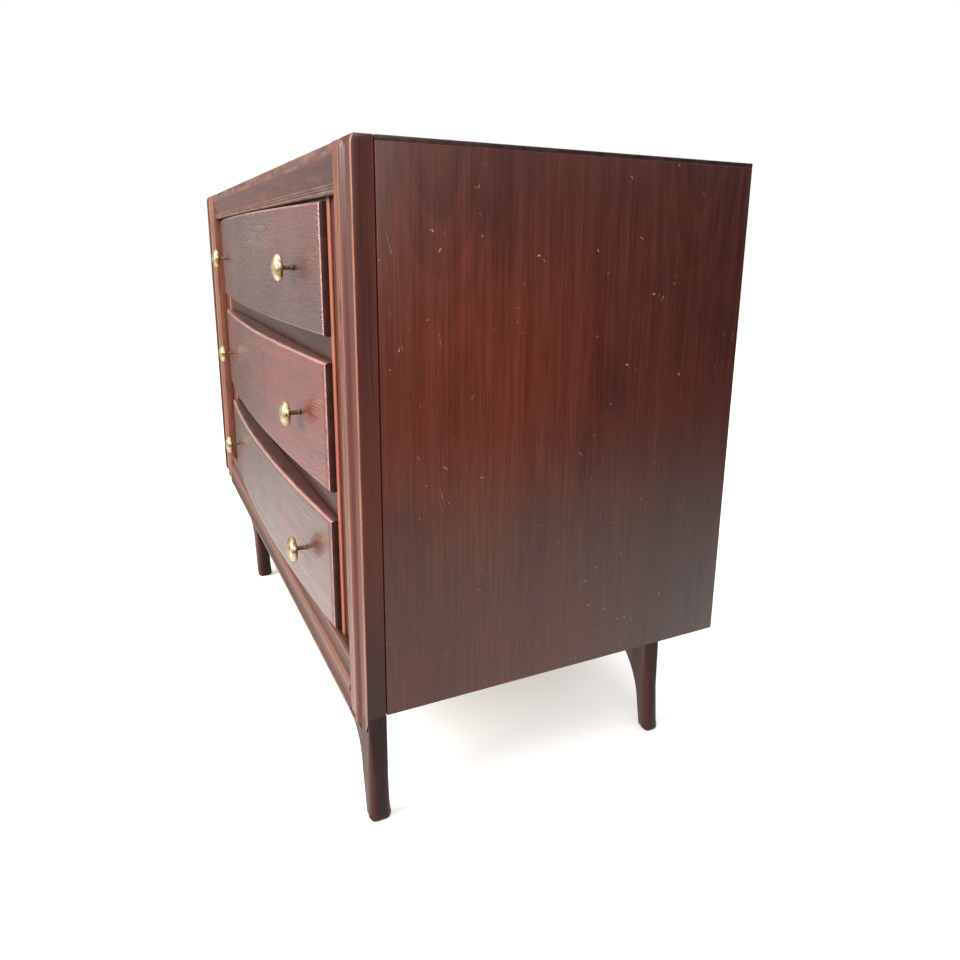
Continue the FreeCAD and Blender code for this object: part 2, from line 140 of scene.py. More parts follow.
def make_studio():
    bpy.context.scene.view_settings.view_transform = "Standard"
    make_world()
    area_light("key", (0.3, -3.2, 1.9), (0, -0.2, 0.35), (2.6, 1.8), 165, (1.0, 0.96, 0.92))
    area_light("side_fill", (3.0, -0.9, 1.7), (0.5, -0.1, 0.45), (1.8, 1.8), 32, (1.0, 0.94, 0.88))
    area_light("top_fill", (-0.6, 0.9, 3.6), (-0.4, 0.6, 0), (3.6, 3.6), 70)
    make_floor()


# ---------------------------------------------------------------- materials

class Graph:
    """The nodes of a material or world, and short ways to add to them."""

    def __init__(self, owner, shader="Principled BSDF", **sockets):
        self.material = bpy.data.materials.new(owner) if isinstance(owner, str) else owner
        self.material.use_nodes = True
        self.nodes = self.material.node_tree.nodes
        self.links = self.material.node_tree.links
        self.shader = self.nodes[shader]
        for socket, value in sockets.items():
            self.shader.inputs[socket.replace("_", " ")].default_value = value

    def add(self, kind, inputs=None, **settings):
        node = self.nodes.new("ShaderNode" + kind)
        for key, value in settings.items():
            setattr(node, key, value)
        for key, value in (inputs or {}).items():
            if isinstance(value, bpy.types.NodeSocket):
                self.links.new(value, node.inputs[key])
            else:
                node.inputs[key].default_value = value
        return node

    def set(self, socket, value):
        self.links.new(value, self.shader.inputs[socket])

    def at(self, scale=(1, 1, 1), shift=(0, 0, 0), turn=(0, 0, 0), vector=None):
        """Object coordinates in metres, scaled, turned and shifted."""
        if vector is None:
            vector = self.add("TexCoord").outputs["Object"]
        return self.add("Mapping", {"Vector": vector, "Scale": scale, "Location": shift,
                                    "Rotation": turn}).outputs["Vector"]

    def split(self, vector):
        return self.add("SeparateXYZ", {"Vector": vector}).outputs

    def noise(self, vector, scale, detail=3, roughness=0.5, distortion=0.0):
        return self.add("TexNoise", {"Vector": vector, "Scale": scale, "Detail": detail,
                                     "Roughness": roughness, "Distortion": distortion}).outputs["Fac"]

    def join(self, x, y, z):
        return self.add("CombineXYZ", {0: x, 1: y, 2: z}).outputs[0]

    def math(self, operation, a, b=0.0):
        return self.add("Math", {0: a, 1: b}, operation=operation).outputs[0]

    def plus(self, a, b):
        return self.math("ADD", a, b)

    def minus(self, a, b):
        return self.math("SUBTRACT", a, b)

    def times(self, a, b):
        return self.math("MULTIPLY", a, b)

    def length(self, a, b):
        """Distance from the origin of a point in a plane."""
        return self.math("SQRT", self.plus(self.times(a, a), self.times(b, b)))

    def vector(self, operation, a, b):
        second = "Scale" if operation == "SCALE" else 1
        return self.add("VectorMath", {0: a, second: b}, operation=operation).outputs[0]

    def fit(self, value, low, high, to_low=0.0, to_high=1.0):
        """Value from low..high mapped to to_low..to_high, smoothly and clamped."""
        inputs = {"Value": value, "From Min": low, "From Max": high, "To Min": to_low, "To Max": to_high}
        return self.add("MapRange", inputs, interpolation_type="SMOOTHSTEP").outputs["Result"]

    def ramp(self, value, stops):
        node = self.add("ValToRGB", {"Fac": value})
        bar = node.color_ramp.elements
        while len(bar) < len(stops):
            bar.new(0.5)
        for element, (place, colour) in zip(bar, stops):
            element.position, element.color = place, colour
        return node.outputs["Color"]

    def mix(self, factor, a, b, blend="MIX"):
        node = self.add("Mix", data_type="RGBA", blend_type=blend)
        for index, value in ((0, factor), (6, a), (7, b)):
            if isinstance(value, bpy.types.NodeSocket):
                self.links.new(value, node.inputs[index])
            else:
                node.inputs[index].default_value = value
        return node.outputs[2]

    def bump(self, height, distance, strength=1.0, normal=None):
        inputs = {"Height": height, "Distance": distance, "Strength": strength}
        if normal is not None:
            inputs["Normal"] = normal
        return self.add("Bump", inputs).outputs["Normal"]

    def flecks(self, vector, size, share, crowd):
        """A mask of small marks: cells of a Voronoi pattern, of which only a share hold one.
        Where crowd is above 1 the marks gather."""
        node = self.add("TexVoronoi", {"Vector": vector, "Scale": 1.0})
        shade = self.split(node.outputs["Color"])
        chosen = self.math("GREATER_THAN", self.plus(shade[0], self.times(crowd, share)), 1)
        near = self.math("LESS_THAN", node.outputs["Distance"], self.times(shade[1], size))
        return self.times(chosen, near)


def along(grain, across, length):
    """Scale that stretches a pattern along the grain axis."""
    return tuple(length if axis == grain else across for axis in "xyz")


# The wood's patterns: cells per metre across and along the grain, detail, roughness and distortion.
PATTERNS = {"fibres": (420, 9, 3, 0.6), "streaks": (85, 1.6, 4, 0.6), "bands": (16, 0.8, 2, 0.5),
            "pores": (1100, 42, 2, 0.5), "cloud": (5.5, 2.2, 3, 0.55, 0.4), "rub": (160, 22, 3, 0.6),
            "crinkle": (330, 26, 2, 0.6, 0.8), "zone": (4.5, 9.0, 1, 0.5), "sway": (34, 9, 2, 0.5)}
BAND_SHARE = 0.15
# Dents, then three directions of scratches and the long ones near the grain of the case side: turn,
# cells per metre along three axes, largest radius in cells and the share of cells that hold one.
SCRATCHES = ((0.0, (60, 200, 160), 0.22, 0.045), (0.45, (36, 400, 54), 0.17, 0.04),
             (-0.95, (36, 440, 46), 0.17, 0.036), (1.35, (36, 330, 74), 0.17, 0.04),
             (-0.25, (30, 800, 15), 0.17, 0.045))
# A stile's side face lies further out than this, and darkens between these heights, in metres.
STRIP_FACE, STRIP_FADE = 0.5402, (0.34, 0.12)
# The most crackled stretch of lacquer, on the upper drawer: its middle and reach along x, its reach in
# height and how it slants, in metres.
CRACKLE_MIDDLE, CRACKLE_REACH, CRACKLE_HEIGHT, CRACKLE_SLANT = 0.09, (0.06, 0.26), (0.55, 0.63), 0.05


def pattern(g, kind, vector, grain):
    """One of the wood's patterns, drawn out along the grain axis."""
    across, length, *detail = PATTERNS[kind]
    return g.noise(g.at(along(grain, across, length), vector=vector), 1, *detail)


def bent_along(g, place, grain):
    """The place, shifted so that the grain wanders a little."""
    slow = g.at(along(grain, 9, 1.1), vector=place)
    drift = g.add("TexNoise", {"Vector": slow, "Scale": 1.0, "Detail": 2.0})
    wander = g.vector("SUBTRACT", drift.outputs["Color"], (0.5, 0.5, 0.5))
    return g.vector("ADD", place, g.vector("SCALE", wander, 0.012))


def scratches(g, place, marks):
    """A mask of dents and scratches with torn edges, crowded in some places; marks scales their size."""
    tear = g.add("TexNoise", {"Vector": place, "Scale": 330.0, "Detail": 3.0})
    torn = g.vector("ADD", place, g.vector("SCALE", tear.outputs["Color"], 0.0045))
    crowd = g.fit(g.noise(g.at(vector=place), 9, 2), 0.44, 0.66, 0.3, 3.4)
    mask = 0.0
    for turn, cells, size, share in SCRATCHES:
        turned = g.at(turn=(turn, 0, turn * 0.7), vector=torn)
        mask = g.math("MAXIMUM", mask, g.flecks(g.at(cells, vector=turned), size * marks, share, crowd))
    return g.times(mask, g.fit(g.noise(place, 190, 2), 0.38, 0.62, 0.12, 1.0))


def worn_edge_and_sheen(g, place, grain):
    """A mask of rubbed edges and of painted highlights and reflections, from the mesh's own values for both.
    """
    wear_and_sheen_levels = g.add("Attribute", attribute_name="wear_and_sheen", attribute_type="GEOMETRY").outputs["Fac"]
    rub = pattern(g, "rub", place, grain)
    edge = g.plus(wear_and_sheen_levels, g.times(g.minus(rub, 0.5), 0.9))
    return g.times(g.fit(edge, 0.2, 1.0), g.fit(wear_and_sheen_levels, 0.0, 0.15))


def crackle(g, place, grain):
    """Fine crackle in the lacquer, in loose zones and most of all on part of the upper drawer."""
    x, _, z = g.split(g.at())
    off_middle = g.math("ABSOLUTE", g.plus(x, -CRACKLE_MIDDLE))
    high_up = g.fit(g.plus(z, g.times(x, CRACKLE_SLANT)), *CRACKLE_HEIGHT)
    most = g.times(g.fit(off_middle, *CRACKLE_REACH, 1, 0), high_up)
    zone = g.math("MAXIMUM", g.fit(pattern(g, "zone", place, grain), 0.36, 0.64, 0.25, 0.75), most)
    return g.times(pattern(g, "crinkle", place, grain), zone)


def wood(name, grain, dark, mid, light, rough=0.4, coat=0.0, coat_rough=0.15, figure=None, patch=None,
         patch_at=(0.5, 0.68), marks=0.0, mark_colour=None, wear_and_sheen=None, ripple=0.0, fibre=0.35, seed=0.0,
         specular=0.5, spread=0.13, foot=None):
    """Wood with fibres, streaks, pores and colour patches; lacquer is the coat.
    figure holds the measures of a veneer's nested figure and also brings the case side's tints and painted
    light, spread is half the tone range, foot is the colour the outer side face takes on near the legs and
    ripple is how uneven the lacquer is and how strong the painted glints on its crackle are."""
    g = Graph(name, Coat_Weight=coat, Coat_Roughness=coat_rough, Specular_IOR_Level=specular)
    place = g.at(shift=(seed, seed * 0.7, seed * 1.3))
    bent = bent_along(g, place, grain)
    fibres = pattern(g, "fibres", bent, grain)
    streaks = pattern(g, "streaks", bent, grain)
    tone = g.plus(g.times(fibres, fibre), g.times(streaks, 1 - BAND_SHARE - fibre))
    tone = g.plus(tone, g.times(pattern(g, "bands", bent, grain), BAND_SHARE))
    if figure:
        tone = g.plus(tone, cathedral(g, **figure))
    colour = g.ramp(tone, [(0.5 - spread, dark), (0.5, mid), (0.5 + spread, light)])
    if patch:
        colour = g.mix(g.fit(pattern(g, "cloud", place, grain), *patch_at, 0, 0.85), colour, patch)
    if figure:
        colour = side_tints_and_painted_light(g, colour)
    if foot:
        x, _, z = g.split(g.at())
        outside = g.math("GREATER_THAN", g.math("ABSOLUTE", x), STRIP_FACE)
        colour = g.mix(g.times(outside, g.fit(z, *STRIP_FADE, 0, 0.85)), colour, foot)
    pores = g.fit(pattern(g, "pores", bent, grain), 0.60, 0.70)
    colour = g.mix(g.times(pores, 0.45), colour, tuple(c * 0.45 for c in dark[:3]) + (1,))
    roughness = g.fit(streaks, 0.3, 0.7, rough - 0.06, rough + 0.08)
    height = g.minus(g.times(fibres, 0.5), g.times(pores, 0.5))
    if marks:
        scratched = scratches(g, place, marks)
        colour = g.mix(scratched, colour, mark_colour)
        roughness = g.plus(roughness, g.times(scratched, 0.3))
        height = g.minus(height, g.times(scratched, 1.2))
    # Rubbed edges, and painted highlights and reflections where the mesh's values hold them, take the lighter
    # colour.
    if wear_and_sheen:
        edge = worn_edge_and_sheen(g, place, grain)
        colour = g.mix(g.times(edge, 0.8), colour, wear_and_sheen)
        roughness = g.plus(roughness, g.times(edge, 0.08))
    normal = g.bump(height, 0.00012, 0.6)
    if ripple:
        crinkle = crackle(g, place, grain)
        # Painted glints: lighter flecks where the lacquer crackles.
        painted_glint = g.times(g.fit(crinkle, 0.42, 0.66, 0, 0.16), ripple)
        colour = g.mix(painted_glint, colour, rgb(190, 168, 150))
        lumps = g.plus(g.times(crinkle, ripple), g.times(pattern(g, "sway", place, grain), 0.35))
        g.set("Coat Normal", g.bump(lumps, 0.0040, 0.8))
        normal = g.bump(lumps, 0.0018, 0.8, normal)
    g.set("Base Color", colour)
    g.set("Roughness", roughness)
    g.set("Normal", normal)
    return g.material


def cathedral(g, leaf, middle, apex, pitch, strength):
    """Nested V figure of a flat-cut veneer leaf; y is across the leaf and z along it."""
    flare, core = 0.13, 0.060
    place = g.at()
    _, y, z = g.split(place)
    across = g.minus(g.math("FLOORED_MODULO", g.plus(y, leaf / 2 - middle), leaf), leaf / 2)
    depth = g.plus(g.times(z, -flare), core + flare * apex)
    shake = g.noise(g.at((16, 16, 5), vector=place), 1, 3, 0.5)
    ring = g.plus(g.length(across, depth), g.times(shake, 0.014))
    step = g.math("FRACT", g.math("DIVIDE", ring, pitch))
    line = g.times(g.fit(step, 0.0, 0.75), g.fit(step, 1.0, 0.86))
    near = g.fit(g.math("ABSOLUTE", across), 0.02, 0.09, 1.0, 0.1)
    near = g.times(near, g.fit(z, 0.52, 0.64, 0.2, 1.0))
    return g.times(g.times(g.minus(line, 0.4), -strength), near)


def side_tints_and_painted_light(g, colour):
    """The case side is orange-brown and lighter in the upper middle, partly its veneer's tone and partly
    painted light, purple-brown round it, darker at the rear and low at the rear as painted shade, with a pale
    painted reflection haze low down, and darker and bluer near the top.
    """
    warm_y, warm_z = (-0.09, 0.17), (0.46, 0.19)
    place = g.at()
    _, y, z = g.split(place)
    blot = g.minus(g.noise(g.at((1, 4.5, 3.2), vector=place), 1, 3, 0.55), 0.5)
    mottle = g.noise(g.at((1, 11, 6.5), shift=(0, 3.1, 0.4), vector=place), 1, 3, 0.6)
    out = g.length(*(g.math("DIVIDE", g.minus(value, centre), reach)
                     for value, (centre, reach) in ((y, warm_y), (z, warm_z))))
    # Where each tint lies, its strength and the colour it multiplies by.
    # Orange-brown and lighter: partly the veneer's tone, partly painted light where the side is brightest.
    warm = (g.fit(g.plus(out, g.times(blot, 1.6)), 1.25, 0.25), 0.75, (1.44, 1.13, 0.66))
    dark_spots = (g.fit(mottle, 0.48, 0.32), 0.8, (0.74, 0.70, 0.80))
    pale_spots = (g.fit(mottle, 0.53, 0.68), 0.7, (1.22, 1.14, 0.94))
    # Painted shade: darker low down at the rear.
    low_rear = (g.times(g.fit(y, 0.02, 0.2), g.fit(z, 0.36, 0.2)), 0.75, (0.60, 0.62, 0.62))
    # Painted shade: darker towards the rear.
    rear = (g.fit(g.plus(y, g.times(blot, 0.25)), -0.02, 0.24), 0.8, (0.70, 0.74, 0.82))
    # Painted reflection: a pale blue-grey haze low down, where the floor shows in the lacquer.
    low = (g.fit(g.plus(z, g.times(blot, 0.10)), 0.44, 0.30), g.fit(z, 0.15, 0.26, 0.55, 0.95),
           (0.84, 1.26, 1.34))
    high = (g.fit(g.plus(z, g.times(blot, 0.12)), 0.58, 0.70), 0.6, (0.80, 0.84, 0.98))
    for zone, strength, tint in (warm, dark_spots, pale_spots, low_rear, rear, low, high):
        colour = g.mix(g.times(zone, strength), colour, (*tint, 1), "MULTIPLY")
    return colour


def brass(name, dull=(1, 1, 1, 1), relief=0.00002):
    """Aged brass; dull darkens it and relief is the depth of its turning marks."""
    g = Graph(name, Metallic=1.0)
    place = g.at()
    cloud = g.noise(place, 90, 4, 0.6)
    spots = g.noise(place, 420, 3, 0.6)
    colour = g.ramp(g.plus(g.times(cloud, 0.75), g.times(spots, 0.25)),
                    [(0.34, rgb(150, 130, 88)), (0.5, rgb(208, 190, 140)), (0.66, rgb(242, 234, 206))])
    g.set("Base Color", g.mix(1.0, colour, dull, "MULTIPLY"))
    g.set("Roughness", g.fit(spots, 0.3, 0.75, 0.20, 0.42))
    turning = g.noise(g.at((300, 60, 300)), 1, 2)
    g.set("Normal", g.bump(g.plus(turning, g.times(spots, 0.5)), relief, 0.5))
    return g.material


def steel(name):
    """Plain dull steel, for the screws and nails."""
    g = Graph(name, Metallic=1.0)
    cloud = g.noise(g.at(), 500, 4, 0.6)
    g.set("Base Color", g.ramp(cloud, [(0.35, rgb(110, 106, 100)), (0.65, rgb(178, 176, 172))]))
    g.set("Roughness", g.fit(cloud, 0.3, 0.7, 0.3, 0.5))
    g.set("Normal", g.bump(cloud, 0.0001, 0.5))
    return g.material


# ---------------------------------------------------------------- mesh helpers

def new_object(name, verts, faces, wear_and_sheen=None, sharp=38):
    """A mesh in millimetres, made into an object in metres, smooth up to sharp degrees."""
    mesh = bpy.data.meshes.new(name)
    mesh.from_pydata([Vector(v) * MM for v in verts], [], faces)
    b = bmesh.new()
    b.from_mesh(mesh)
    bmesh.ops.recalc_face_normals(b, faces=b.faces)
    b.to_mesh(mesh)
    b.free()
    if wear_and_sheen is not None:
        mesh.attributes.new("wear_and_sheen", "FLOAT", "POINT").data.foreach_set("value", wear_and_sheen)
    mesh.shade_smooth()
    mesh.set_sharp_from_angle(angle=math.radians(sharp))
    thing = bpy.data.objects.new(name, mesh)
    bpy.context.scene.collection.objects.link(thing)
    return thing


def stand_for(thing, *nodes, material):
    """thing replaces these CAD nodes, on their body and with the given material."""
    thing.data.materials.append(material)
    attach(thing, BODY_OF[nodes[0]])
    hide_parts(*nodes)


def arc(start, end, radius, turn, steps):
    """Points from start towards end along the short arc; turn +1 bulges to the right."""
    start, end = Vector(start), Vector(end)
    chord = end - start
    half = chord.length / 2
    side = Vector((chord.y, -chord.x)).normalized()
    centre = (start + end) / 2 - side * turn * math.sqrt(max(radius ** 2 - half ** 2, 0))
    first, last = start - centre, end - centre
    swing = first.angle_signed(last)
    points = []
    for i in range(steps):
        angle = -swing * i / steps
        points.append(centre + Vector((first.x * math.cos(angle) - first.y * math.sin(angle),
                                       first.x * math.sin(angle) + first.y * math.cos(angle))))
    return points


def outline(shape, steps=8):
    """Loop points from (a, b[, radius, turn]) entries, the arcs divided into steps."""
    points = []
    for i, (a, b, *bend) in enumerate(shape):
        after = shape[(i + 1) % len(shape)][:2]
        points += arc((a, b), after, *bend, steps) if bend else [Vector((a, b))]
    return points


def ease(points, radius, least=24):
    """Rounds the corners of a closed loop that turn by more than least degrees."""
    eased = []
    for i, here in enumerate(points):
        before, after = points[i - 1], points[(i + 1) % len(points)]
        a, b = before - here, after - here
        if a.length < 1e-6 or b.length < 1e-6 or math.degrees(math.pi - a.angle(b)) < least:
            eased.append(here)
            continue
        r = min(radius, a.length * 0.45, b.length * 0.45)
        start, end = here + a.normalized() * r, here + b.normalized() * r
        for t in (0, 0.25, 0.5, 0.75, 1):
            eased.append(start * (1 - t) ** 2 + here * 2 * t * (1 - t) + end * t ** 2)
    return eased


def inward(points):
    """Unit vectors that point into the loop at each of its points."""
    area = sum(a.x * b.y - a.y * b.x for a, b in zip(points, points[1:] + points[:1]))
    found = []
    for i in range(len(points)):
        run = points[(i + 1) % len(points)] - points[i - 1]
        side = Vector((-run.y, run.x)) if area > 0 else Vector((run.y, -run.x))
        found.append(side.normalized() if side.length > 1e-9 else Vector((0, 0)))
    return found


def tube_faces(rings, count):
    """Faces that join rings of count points, and one that closes each end."""
    sides = [[r * count + i, r * count + (i + 1) % count, (r + 1) * count + (i + 1) % count,
              (r + 1) * count + i] for r in range(rings - 1) for i in range(count)]
    return sides + [list(range(count)), list(range((rings - 1) * count, rings * count))]


def sweep(name, loop, stations, put, wear_and_sheen):
    """Runs a loop along stations, each (place, inset in mm); put(a, b, place) gives the point."""
    normals = inward(loop)
    verts, values = [], []
    for place, inset in stations:
        for point, normal, wear_and_sheen_levels in zip(loop, normals, wear_and_sheen):
            moved = point + normal * inset
            verts.append(put(moved.x, moved.y, place))
            values.append(wear_and_sheen_levels)
    return new_object(name, verts, tube_faces(len(stations), len(loop)), values)


def runs(low, high, step, rounding=0.0):
    """Stations from low to high, the high end rounded over."""
    end = high - rounding
    count = max(1, round((end - low) / step))
    stations = [(low + (end - low) * i / count, 0.0) for i in range(count + 1)]
    if rounding:
        for turn in (0.65, 0.3, 0):
            angle = turn * math.pi / 2
            stations.append((high - rounding * (1 - math.cos(angle)), rounding * (1 - math.sin(angle))))
    return stations


def rounded_box(name, low, high, radius, segments=3):
    """A box in millimetres whose edges are all eased."""
    b = bmesh.new()
    bmesh.ops.create_cube(b, size=1)
    middle, size = (low + high) / 2, high - low
    for v in b.verts:
        v.co = Vector((v.co.x * size.x, v.co.y * size.y, v.co.z * size.z)) + middle
    bmesh.ops.bevel(b, geom=b.edges[:], offset=radius, segments=segments, profile=0.5, affect="EDGES")
    verts = [v.co.copy() for v in b.verts]
    faces = [[v.index for v in f.verts] for f in b.faces]
    b.free()
    return new_object(name, verts, faces)


def lathe(name, profile, centre, steps=72):
    """Turns (radius, distance out) round an axis that points to -Y from centre, in millimetres."""
    verts, faces, count = [], [], len(profile)
    for s in range(steps):
        angle = 2 * math.pi * s / steps
        across, up = math.cos(angle), math.sin(angle)
        verts += [(centre[0] + r * across, centre[1] - out, centre[2] + r * up) for r, out in profile]
    for s in range(steps):
        here, after = s * count, (s + 1) % steps * count
        faces += [[here + i, here + i + 1, after + i + 1, after + i] for i in range(count - 1)]
    faces.append([s * count for s in range(steps)])
    faces.append([s * count + count - 1 for s in range(steps)])
    return new_object(name, verts, faces, sharp=30)


# ---------------------------------------------------------------- the pieces

RECESS, STILE_T, CORNER, BOW = 18, 21, 27, 16
# Plan of the moulded stile: distance from the case side and depth behind the front, then arc and bulge.
STILE = [(0.0, 2.4, 2.5, 1), (2.4, 0.0), (6.5, 0.3, 3.2, 1), (9.5, 2.6), (11.5, 3.1, 30.0, -1),
         (28.0, 3.2), (32.5, 4.6), (35.0, 2.8, 9.0, 1), (45.5, 0.7), (48.0, 1.7, 60.0, -1),
         (63.5, 1.9), (66.5, 1.9, 4.0, 1)]
# Depth and height up the front of the two rails, and on round their backs.
TOP_RAIL = [(8.6, 0.0), (7.2, 0.8, 2.6, -1), (7.2, 4.4), (8.0, 4.9), (7.3, 5.3, 1.4, -1), (7.3, 7.3),
            (8.0, 7.8), (7.4, 8.2, 1.4, -1), (7.4, 10.2), (8.6, 10.8), (8.4, 13.2), (5.4, 27.6, 60.0, -1),
            (5.2, 34.4, 30.0, 1), (3.2, 45.4, 50.0, -1),
            (4.2, 46.4), (STILE_T, 46.4), (STILE_T, 23.9), (RECESS, 23.9), (RECESS, 0)]
APRON = [(2.4, 0.0), (1.0, 1.4), (1.0, 6.0), (2.8, 7.4, 16.0, 1), (3.6, 23.0), (5.0, 24.0),
         (3.2, 26.0, 8.0, -1), (4.6, 38.0), (6.4, 39.0, 16.0, 1), (7.6, 51.0),
         (7.6, 52.4, 4.4, -1), (9.6, 58.4),
         (11.0, 59.5), (RECESS, 59.5), (RECESS, 0)]
# A leg's width at the foot, how far its inner side leans out and the radius of its flare at the top.
FRONT_LEG, REAR_LEG = (17, 12, 40), (16, 3, 90)
# How far a rear foot stands behind its top, and how much thinner a front leg is at the top.
REAR_RAKE, FRONT_SLIM = 11, 4
# Edge radii of a leg: its outer arris, round the foot and elsewhere.
ARRIS, FOOT, EDGE = 8.0, 6.5, 1.3


def stile_wear_and_sheen(loop):
    """Light lines on the outer arris, the middle crest and the inner arris of a stile, partly wear and partly
    painted highlights, and painted light on the inner side face.
    """
    wear_and_sheen_levels = []
    for across, depth in loop:
        level = 0.06
        # Behind the front only the inner side face is lighter, as painted light on that lit face.
        if depth > 6:
            level = 0.55 if across > 60 else 0.0
        elif 0.6 < across < 3.4:
            level = 0.75
        elif 40.5 < across < 47.5:
            level = 0.85
        elif across >= 67.5:
            level = 0.7
        elif across >= 47.5:
            level = 0.48
        wear_and_sheen_levels.append(level)
    return wear_and_sheen_levels


def apron_wear(loop):
    """Wear on each point of the apron's front that stands out against the points within 5 mm."""
    wear_and_sheen_levels = []
    for depth, height in loop:
        near = [q.x for q in loop if abs(q.y - height) < 5 and q.x < 16]
        mean = sum(near) / len(near) if near else depth
        wear_and_sheen_levels.append(min(1.0, max(0.0, mean - depth)) if depth < 12 else 0.0)
    return wear_and_sheen_levels


def top_rail_painted_sheen(loop):
    """Painted reflections as light bands on the top rail: its upper cove, its long lower cove and the crests
    of the reeds.
    """
    wear_and_sheen_levels = []
    for depth, height in loop:
        level = 0.0
        if depth < 12:
            if height > 35:
                level = 0.45
            elif 13 < height < 28:
                level = 0.8 * (1 - abs(height - 20) / 10)
            elif height < 10.5:
                level = 0.5 if depth < 7.5 else 0.1
        wear_and_sheen_levels.append(level)
    return wear_and_sheen_levels


def stiles(material):
    """Moulded corner posts, with a soft cap at the top and the outer lower corner cut in a quarter circle."""
    cap_rise, cap_depth, unevenness = 8, 3.0, 0.12
    for side, sign in (("right", 1), ("left", -1)):
        node = "front_stile_" + side
        low, high = low_high(node)
        outer = high.x if sign > 0 else low.x
        width = high.x - low.x
        shape = STILE + [(width, 4.2), (width, RECESS), (19, RECESS), (19, STILE_T), (0, STILE_T)]
        loop = ease(outline(shape), 0.5)

        def put(a, b, z, outer=outer, sign=sign, low=low, high=high):
            lift = 0.0
            if a < CORNER:
                lift = CORNER - math.sqrt(max(0.0, CORNER ** 2 - (CORNER - max(a, 0.0)) ** 2))
            share = (high.z - z) / (high.z - low.z)
            moulded = b < 6
            wobble = noise.noise((a * 0.05, b * 0.05, z * 0.03)) * unevenness if moulded else 0.0
            cap = min(1.0, max(0.0, (z - high.z + cap_rise) / cap_rise)) ** 2 if moulded else 0.0
            return (outer - sign * a, low.y + b + (cap_depth - b) * cap + wobble, z + lift * share ** 8)

        piece = sweep(node + "_moulding", loop, runs(low.z, high.z, 2.5, 0.8), put, stile_wear_and_sheen(loop))
        stand_for(piece, node, material=material)


def rails(materials):
    """The moulded rails over and under the drawers."""
    unevenness, back_from = 0.15, 12
    for node, key, shape, wear_and_sheen in (("top_front_rail", "moulding_x", TOP_RAIL, top_rail_painted_sheen),
                                   ("bottom_front_rail", "apron", APRON, apron_wear)):
        low, high = low_high(node)
        front = low_high("front_stile_right")[0].y
        loop = ease(outline(shape), 0.45)

        def put(a, b, x, front=front, base=low.z):
            wobble = noise.noise((x * 0.02, a * 0.1, b * 0.05)) * unevenness if a < back_from else 0.0
            return (x, front + a + wobble, base + b)

        piece = sweep(node + "_moulding", loop, runs(low.x, high.x, 8), put, wear_and_sheen(loop))
        stand_for(piece, node, material=materials[key])


def bowed_front(drawer, material, end_material):
    """The bowed face with a rounded edge all round, a fine quirk near each end and end faces darkened as end
    grain and with painted shade.
    """
    node = drawer + "_drawer_front"
    low, high = low_high(node)
    radius = ((high.x - low.x) ** 2 / 4 + BOW ** 2) / (2 * BOW)
    rounding, quirk, quirk_depth, quirk_half = 5.0, 7.4, 0.9, 0.9
    border, rear_bevel, unevenness = 10, 0.8, 0.25

    def sink(inset, from_end):
        """Depth behind the bow at this distance from the edge."""
        if inset < rounding:
            return rounding - math.sqrt(rounding ** 2 - (rounding - inset) ** 2)
        return quirk_depth * max(0.0, 1 - abs(from_end - quirk) / quirk_half)

    insets = [rounding * (1 - math.cos(a * math.pi / 16)) for a in range(9)]
    insets += [5.2, 6.5, 7.0, quirk, 7.8, 8.3, 9.0]

    def ladder(start, end, step):
        first, last = start + border, end - border
        count = max(2, round((last - first) / step))
        inner = [first + (last - first) * i / count for i in range(count + 1)]
        return [start + i for i in insets] + inner + [end - i for i in reversed(insets)]

    xs, zs = ladder(low.x, high.x, 7), ladder(low.z, high.z, 6)
    verts, wear_and_sheen_levels = [], []
    for x in xs:
        for z in zs:
            from_end = min(x - low.x, high.x - x)
            inset = min(from_end, z - low.z, high.z - z)
            swell = 0.0
            if inset > border:
                swell = noise.noise((x * 0.006, z * 0.012, low.z)) * unevenness
                swell *= min(1, (inset - border) / 20)
            verts.append((x, low.y + x * x / (2 * radius) + sink(inset, from_end) + swell, z))
            # A band along the rounded edge is lighter: partly rubbed and partly a painted highlight on the
            # rounding.
            wear_and_sheen_levels.append(max(0.0, 1 - abs(inset - 1.6) / 2.6))
    n = len(zs)
    faces = [[i * n + j, (i + 1) * n + j, (i + 1) * n + j + 1, i * n + j + 1]
             for i in range(len(xs) - 1) for j in range(n - 1)]
    # The ends, top and bottom run back to the flat rear face.
    rim = ([i * n for i in range(len(xs))] + [(len(xs) - 1) * n + j for j in range(1, n)]
           + [i * n + n - 1 for i in range(len(xs) - 2, -1, -1)] + [j for j in range(n - 2, 0, -1)])
    first = len(verts)
    for back, pull in ((high.y - rear_bevel, 0.0), (high.y, rear_bevel)):
        for k in rim:
            x, _, z = verts[k]
            verts.append((min(max(x, low.x + pull), high.x - pull), back,
                          min(max(z, low.z + pull), high.z - pull)))
            wear_and_sheen_levels.append(0.0)
    count = len(rim)
    for k in range(count):
        m = (k + 1) % count
        faces.append([rim[k], rim[m], first + m, first + k])
        faces.append([first + k, first + m, first + count + m, first + count + k])
    faces.append([first + count + k for k in range(count)])
    piece = new_object(node + "_bowed", verts, faces, wear_and_sheen_levels, sharp=50)
    stand_for(piece, node, material=material)
    piece.data.materials.append(end_material)
    for face in piece.data.polygons:
        if abs(face.normal.x) > 0.75:
            face.material_index = 1


